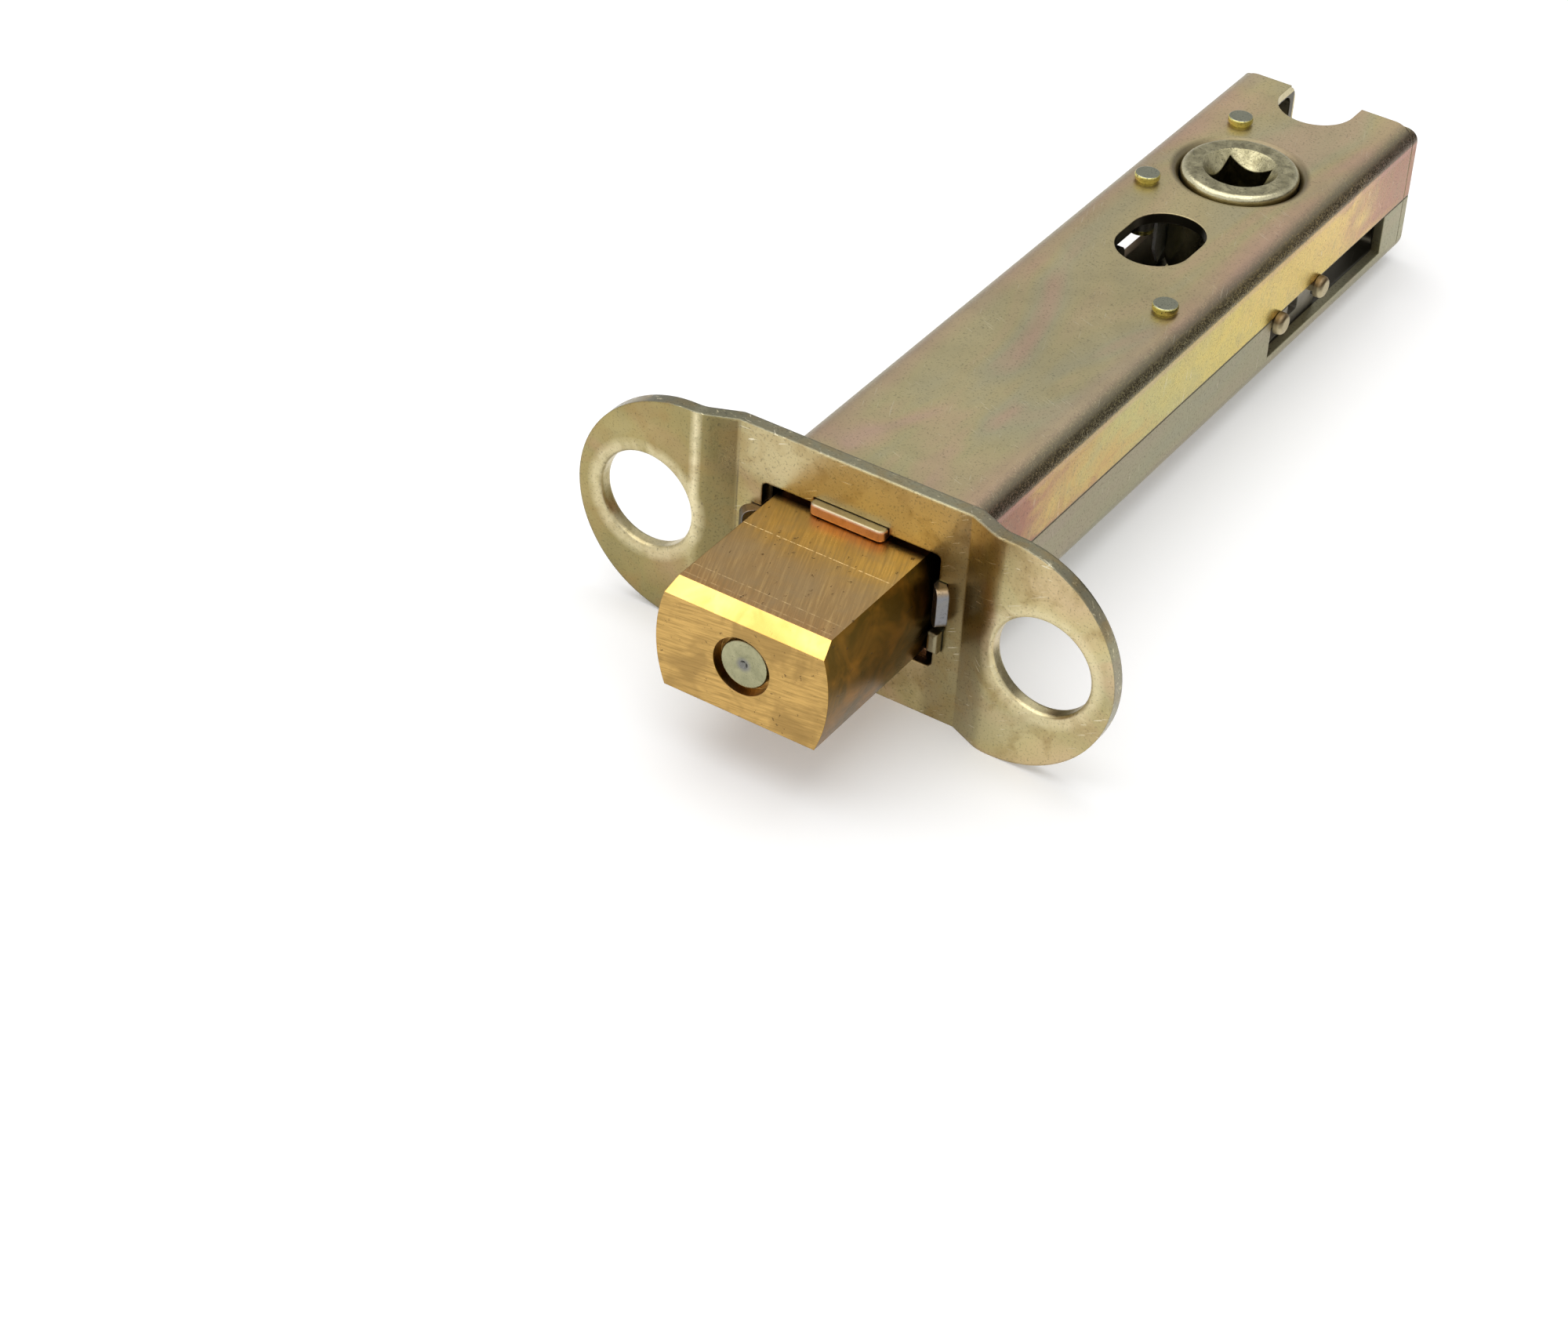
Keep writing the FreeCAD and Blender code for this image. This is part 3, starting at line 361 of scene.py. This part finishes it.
sheetLook = {
    "low": (0.38, 0.32, 0.19),
    "high": (0.57, 0.47, 0.28),
    "along": rearBlush,
    "alongAmount": 0.6,
    "sheen": [(0.30, (0.72, 0.42, 0.38)), (0.42, (0.66, 0.48, 0.30)), (0.52, (0.55, 0.52, 0.26)),
              (0.62, (0.46, 0.50, 0.33)), (0.74, (0.68, 0.41, 0.36))],
    "tintStretch": (0.10, 0.035, 0.16),
    "tint": 0.35,
    "sideStops": [(0.0, (0.27, 0.115, 0.06)), (0.16, (0.40, 0.17, 0.095)), (0.28, (0.60, 0.40, 0.11)),
                  (0.42, (0.54, 0.48, 0.16)), (0.62, (0.74, 0.57, 0.12)), (0.88, (0.76, 0.52, 0.15)),
                  (1.0, (0.46, 0.23, 0.13))],
    "driftReach": 30,
    "swirlReach": 26,
    "brushReach": 9,
    "hatchColour": (0.36, 0.32, 0.10),
    "endTone": (0.78, 0.68, 0.68),
    "sideAmount": 0.95,
    "sideSmooth": 0.10,
    "flange": False,
    "collar": 0.8,
    "seam": 0.6,
    "collarColour": (0.15, 0.12, 0.07),
    "tab": 0.9,
    "tabColour": (0.34, 0.25, 0.17),
    "tabEnd": (0.20, 0.21, 0.235),
    "blotchColour": (0.36, 0.31, 0.18),
    "blotch": 0.25,
    "speckEdge": 0.63,
    "speck": 0.4,
    "bend": 0.85,
    "bendColour": (0.23, 0.20, 0.145),
    "fringe": 0.6,
    "fringeColour": (0.52, 0.28, 0.26),
    "scratchTurns": [(0.0, 0.0, 0.35), (0.0, 0.0, 1.2)],
    "scratchColour": (0.85, 0.78, 0.58),
    "scratch": 0.25,
    "inside": 0.9,
    "insideColour": (0.035, 0.032, 0.025),
    "rough": 0.36,
    "metallic": 1.0,
    "bump": 0.3,
    "bumpDepth": 0.00004,
    "edge": 0.00018,
}
lowerLook = dict(sheetLook, low=(0.34, 0.315, 0.21), high=(0.43, 0.40, 0.27), along=evenTone((0.38, 0.35, 0.235)),
                 tint=0.12, sideAmount=0.0, sideSmooth=0.0, tabColour=(0.22, 0.17, 0.09), tabEnd=(0.30, 0.26, 0.16),
                 blotch=0.1, bend=0.2, fringe=0.0, rough=0.42)
flangeLook = dict(sheetLook, low=(0.37, 0.30, 0.14), high=(0.69, 0.57, 0.30), along=evenTone((0.46, 0.37, 0.18)),
                  alongAmount=0.15, tint=0.25, tintStretch=(0.10, 0.1, 0.12), sideAmount=0.0, sideSmooth=0.0,
                  flange=True, seam=0.0, collar=0.0, tab=0.0, blotchColour=(0.34, 0.235, 0.09), blotch=0.6,
                  bend=0.0, fringe=0.0, inside=0.0, scratchTurns=[(1.2, 0.0, 0.4), (0.6, 0.9, 0.0), (1.57, 0.7, 0.6)],
                  scratch=0.75, rough=0.31, edge=0.00035, rimColour=(0.20, 0.20, 0.15), foldShade=(0.26, 0.225, 0.12),
                  foldShine=(0.88, 0.78, 0.50), foldLine=(0.07, 0.06, 0.04),
                  leftTone=(0.68, 0.65, 0.54), aboveLeft=(0.58, 0.48, 0.27), aboveRight=(0.84, 0.76, 0.44),
                  besideOpening=(0.27, 0.22, 0.11))

dress("upper_case_cover", passivated("upperCoverZinc", sheetLook))
dress("lower_case_cover", passivated("lowerCoverZinc", lowerLook))
dress("forend_flange", passivated("flangeZinc", flangeLook))
print("sheet finishes made")


# drawn brass, brushed on top and sawn on its nose

boltForm = {"noseY": -17.0, "length": 19.0, "gapY": 1.35}


def brushedBrass(look):
    p = Finish("boltBrass")
    mm = p.mm()
    y = p.xyz(mm)[1]
    nx, ny, nz = p.facing()
    brush = p.noise(mm, "boltBrush")
    cross = p.noise(mm, "boltCross")
    cloud = p.noise(mm, "boltCloud")
    pits = p.noise(mm, "boltPits").over(0.68, 0.06)
    nose = (ny * -1).over(0.35, 0.2)
    chamfer = nose * nz.over(0.3, 0.1)
    side = abs(nx).over(0.6, 0.2)
    colour = p.ramp((y - boltForm["noseY"]) / boltForm["length"], look["topStops"])
    colour = p.mix(colour, look["topDark"], brush.over(0.56, 0.2) * 0.55)
    colour = p.mix(colour, look["topLight"], brush.under(0.40, 0.16) * 0.5)
    colour = p.mix(colour, look["stain"], cloud.over(0.52, 0.25) * look["stainAmount"])
    # the bolt's side faces are painted dark with paler patches: painted reflection
    colour = p.mix(colour, p.mix(look["side"], look["sideGlow"], cloud.over(0.56, 0.2)), side)
    saw = p.noise(mm, "boltSaw")
    front = p.mix(look["front"], look["frontDark"], saw.over(0.52, 0.26) * 0.9)
    front = p.mix(front, look["frontStain"], cloud.over(0.55, 0.14) * 0.6)
    colour = p.mix(colour, front, nose)
    colour = p.mix(colour, look["pit"], pits * (1 - chamfer) * 0.8)
    # the bolt's top inside the flange opening is painted dark: painted shade
    colour = p.mix(colour, look["gap"], y.over(boltForm["gapY"], 0.5))
    colour = p.mix(colour, p.mix(look["chamfer"], look["chamferDark"], cloud.over(0.5, 0.3)), chamfer)
    lines = scribe(p, mm, y, nz, look)
    colour = p.mix(colour, look["scribe"], lines)
    rough = look["rough"] + (cloud - 0.5) * 0.15 + (brush - 0.5) * 0.15 - chamfer * 0.05
    height = brush * 0.6 + saw * nose * 0.5 + cross * 0.3 - lines * 1.2 - pits * 0.6
    return p.finish(look, colour, rough, height)


def scribe(p, mm, y, nz, look):  # broken lines across the bolt's top
    total = None
    for index, (place, strength) in enumerate(look["scribes"]):
        broken = p.noise(mm, "scribeBreaks", shift=(9.0 * index, 1.0, 1.0)).over(0.48, 0.1)
        line = abs(y - place).under(0.05, 0.05) * broken * strength
        total = line if total is None else total + line
    return total * nz.over(0.9, 0.05)


brassLook = {
    "topStops": [(0.05, (0.46, 0.24, 0.085)), (0.25, (0.45, 0.28, 0.115)), (0.50, (0.48, 0.30, 0.12)),
                 (0.68, (0.56, 0.35, 0.11)), (0.95, (0.68, 0.43, 0.12))],
    "topDark": (0.30, 0.20, 0.09),
    "topLight": (0.76, 0.52, 0.22),
    "stain": (0.36, 0.26, 0.14),
    "stainAmount": 0.5,
    "side": (0.14, 0.082, 0.009),
    "sideGlow": (0.32, 0.155, 0.02),
    "gap": (0.05, 0.03, 0.012),
    "front": (0.62, 0.39, 0.125),
    "frontDark": (0.36, 0.225, 0.07),
    "frontStain": (0.30, 0.185, 0.06),
    "chamfer": (0.86, 0.55, 0.17),
    "chamferDark": (0.66, 0.39, 0.10),
    "pit": (0.10, 0.06, 0.025),
    "scribe": (0.95, 0.72, 0.38),
    "scribes": [(-4.2, 0.75), (-12.6, 0.35), (-14.2, 0.3)],
    "rough": 0.31,
    "metallic": 1.0,
    "bump": 0.35,
    "bumpDepth": 0.00004,
    "edge": 0.00012,
}
dress("brass_bolt", brushedBrass(brassLook))
print("bolt finish made")


# small turned, cast and pressed steel pieces

def plainSteel(name, look):
    p = Finish(name)
    mm = p.mm()
    cloud = p.noise(mm, "steelCloud", scale=look["cloudScale"])
    grain = p.noise(mm, "steelGrain")
    x, y, z = p.xyz(mm)
    # upward faces take topColour; on the studs it is a painted dark reflection
    up = p.facing()[2].over(look["upEdge"], 0.2)
    colour = p.mix(look["low"], look["high"], cloud.over(0.5, 0.35))
    colour = p.mix(colour, look["topColour"], up * look["topAmount"])
    colour = p.mix(colour, grey(0.02), grain.over(0.64, 0.1) * look["speck"])
    centre = (x * x + z * z).maths("SQRT").under(look["spotRadius"], 0.5)
    colour = p.mix(colour, look["spotColour"], centre * look["spot"])
    # on the hub, the outer rim ring is painted pale: a painted highlight
    colour = p.mix(colour, look["rimColour"], hubDistance(x, y).over(caseForm["hubRimRadius"], 0.5) * look["rim"])
    rough = look["rough"] + (cloud - 0.5) * 0.2
    return p.finish(look, colour, rough, grain + cloud)


steelLook = {"low": (0.42, 0.37, 0.24), "high": (0.55, 0.49, 0.33), "topColour": (0.5, 0.5, 0.48), "topAmount": 0.0,
             "upEdge": 0.8, "cloudScale": 0.6, "speck": 0.3, "spot": 0.0, "spotRadius": 0.7,
             "spotColour": (0.15, 0.15, 0.18), "rim": 0.0, "rimColour": (0.80, 0.75, 0.52), "rough": 0.34,
             "metallic": 1.0, "bump": 0.2, "bumpDepth": 0.00003, "edge": 0.00012}
stemLook = dict(steelLook, low=(0.27, 0.265, 0.155), high=(0.42, 0.40, 0.24), spot=0.7, rough=0.28)
followerLook = dict(steelLook, low=(0.24, 0.215, 0.12), high=(0.52, 0.475, 0.29), cloudScale=0.8, speck=0.8,
                    bump=0.8, rim=0.45, rough=0.21, edge=0.0002)
rivetLook = dict(steelLook, low=(0.50, 0.43, 0.11), high=(0.62, 0.54, 0.18), topColour=(0.24, 0.265, 0.25),
                 topAmount=0.8, cloudScale=1.4, speck=0.9, bump=0.6, rough=0.22)
# the studs' upward faces are painted dark brown: a painted dark reflection
studLook = dict(steelLook, low=(0.55, 0.47, 0.29), high=(0.70, 0.61, 0.40), topColour=(0.24, 0.16, 0.08),
                topAmount=0.85, upEdge=0.35, rough=0.5)
slideLook = dict(steelLook, low=(0.26, 0.24, 0.19), high=(0.36, 0.33, 0.27), rough=0.42, metallic=0.6)
innerLook = dict(steelLook, low=(0.20, 0.19, 0.16), high=(0.30, 0.28, 0.23), rough=0.4)
tabLook = dict(steelLook, low=(0.60, 0.30, 0.16), high=(0.76, 0.40, 0.22), topColour=(0.44, 0.40, 0.28),
               topAmount=0.9, upEdge=0.6, edge=0.0002)
# the spring is pale and nearly non-metallic so its edges show bright: a painted highlight
springLook = dict(steelLook, low=(0.74, 0.72, 0.67), high=(0.84, 0.82, 0.77), rough=0.4, metallic=0.1)

followerMetal = plainSteel("followerMetal", followerLook)
rivetSteel = plainSteel("rivetSteel", rivetLook)
studSteel = plainSteel("studSteel", studLook)
slideSteel = plainSteel("slideSteel", slideLook)
innerSteel = plainSteel("innerSteel", innerLook)
tabSteel = plainSteel("tabSteel", tabLook)
dress("follower_hub", followerMetal)
dress("bolt_stem", plainSteel("stemSteel", stemLook))
dress("drive_slide", slideSteel)
dress("hub_brake_spring", plainSteel("springSteel", springLook))
for node in nodes:
    if node.startswith("case_rivet"):
        dress(node, rivetSteel)
    elif node.startswith("guide_stud"):
        dress(node, studSteel)
    elif node.startswith("spacer_sleeve") or node == "stem_washer":
        dress(node, innerSteel)
    elif node.endswith("_guide"):
        dress(node, tabSteel)
print("steel finishes made")


# studio: pale floor, one overhead softbox, and a dark card that only mirrors see

studio = {
    "floorZ": -0.0125,
    "floorTilt": 2.0,
    "floorHalf": 3,
    "floorColour": 0.86,
    "floorFill": 0.21,
    "skyFill": 0.62,
    "rearShade": 0.4,
    "rearFrom": 0.3,
    "rearSoft": 0.6,
    "boxPower": 3.0,
    "boxSize": 0.8,
    "boxPlace": (-0.10, 0.02, 0.62),
    "boxAim": (0, 0.04, 0),
    "cardX": 0.029,
    "cardY": (0.008, 0.34),
    "cardTop": 0.0165,
    "cardColour": (0.13, 0.12, 0.105),
}
cameraView = {
    "sensor": 36.0,
    "lens": 89.908,
    "place": (0.152106, -0.262412, 0.221043),
    "turn": (52.6324, -2.9646, 33.2366),
    "near": 0.01,
    "far": 50.0,
}


def flatMesh(name, corners, material):
    mesh = bpy.data.meshes.new(name)
    mesh.from_pydata(corners, [], [(0, 1, 2, 3)])
    obj = bpy.data.objects.new(name, mesh)
    obj.data.materials.append(material)
    bpy.context.scene.collection.objects.link(obj)
    return obj


def rayKinds(tree):  # 1 for rays from the camera, and 1 for those of mirrors and through glass
    outs = tree.nodes.new("ShaderNodeLightPath").outputs
    mirror = Flow(tree, outs["Is Glossy Ray"]) + Flow(tree, outs["Is Transmission Ray"])
    return Flow(tree, outs["Is Camera Ray"]), mirror.maths("MINIMUM", 1.0)


def makeFloor():
    p = Finish("paleFloor")
    diffuse = p.node("ShaderNodeBsdfDiffuse", None, {"Color": colour4(grey(studio["floorColour"]))})
    camera, mirror = rayKinds(p.tree)
    seen = (camera + mirror).maths("MINIMUM", 1.0)
    glow = p.node("ShaderNodeEmission", None, {"Strength": seen * studio["floorFill"]})
    both = p.node("ShaderNodeAddShader", None, {0: diffuse, 1: glow})
    p.node("ShaderNodeOutputMaterial", None, {"Surface": both})
    half = studio["floorHalf"]
    floor = flatMesh("floor", [(-half, -half, 0), (half, -half, 0), (half, half, 0), (-half, half, 0)], p.material)
    floor.rotation_euler = (math.radians(studio["floorTilt"]), 0, 0)
    floor.location = (0, 0, studio["floorZ"])


def makeCard():  # stands by the case's right side
    p = Finish("darkCard")
    shade = p.node("ShaderNodeEmission", None, {"Color": colour4(studio["cardColour"]), "Strength": 1.0})
    p.node("ShaderNodeOutputMaterial", None, {"Surface": shade})
    x, low, high = studio["cardX"], studio["floorZ"], studio["cardTop"]
    near, far = studio["cardY"]
    card = flatMesh("darkCard", [(x, near, low), (x, far, low), (x, far, high), (x, near, high)], p.material)
    card.visible_camera = False
    card.visible_diffuse = False
    card.visible_shadow = False
    card.visible_transmission = False


def makeLight():
    data = bpy.data.lights.new("softbox", "AREA")
    data.shape = "SQUARE"
    data.size = studio["boxSize"]
    data.energy = studio["boxPower"]
    lamp = bpy.data.objects.new("softbox", data)
    lamp.location = studio["boxPlace"]
    lamp.rotation_mode = "QUATERNION"
    away = Vector(studio["boxPlace"]) - Vector(studio["boxAim"])
    lamp.rotation_quaternion = away.to_track_quat("Z", "Y")
    bpy.context.scene.collection.objects.link(lamp)


def makeWorld():
    world = bpy.data.worlds.new("studioWorld")
    world.use_nodes = True
    bpy.context.scene.world = world
    tree = world.node_tree
    tree.nodes.clear()
    camera, mirror = rayKinds(tree)
    way = tree.nodes.new("ShaderNodeSeparateXYZ")
    tree.links.new(tree.nodes.new("ShaderNodeTexCoord").outputs["Generated"], way.inputs[0])
    rear = Flow(tree, way.outputs["Y"]).over(studio["rearFrom"], studio["rearSoft"])
    rear = rear * studio["rearShade"]  # the studio is dimmer behind
    back = tree.nodes.new("ShaderNodeBackground")
    back.inputs["Color"].default_value = (1, 1, 1, 1)
    fill = studio["skyFill"]
    plug(tree, back.inputs["Strength"], camera * (1 - fill) + mirror * (1 - fill - rear) + fill)
    out = tree.nodes.new("ShaderNodeOutputWorld")
    tree.links.new(back.outputs[0], out.inputs[0])


def makeCamera():
    data = bpy.data.cameras.new("photoCamera")
    data.sensor_width = cameraView["sensor"]
    data.lens = cameraView["lens"]
    camera = bpy.data.objects.new("photoCamera", data)
    camera.location = cameraView["place"]
    camera.rotation_euler = [math.radians(angle) for angle in cameraView["turn"]]
    data.clip_start = cameraView["near"]
    data.clip_end = cameraView["far"]
    bpy.context.scene.collection.objects.link(camera)
    bpy.context.scene.camera = camera


makeFloor()
makeCard()
makeLight()
makeWorld()
makeCamera()
bpy.context.scene.view_settings.view_transform = "Standard"
print("studio made")

bpy.context.view_layer.update()
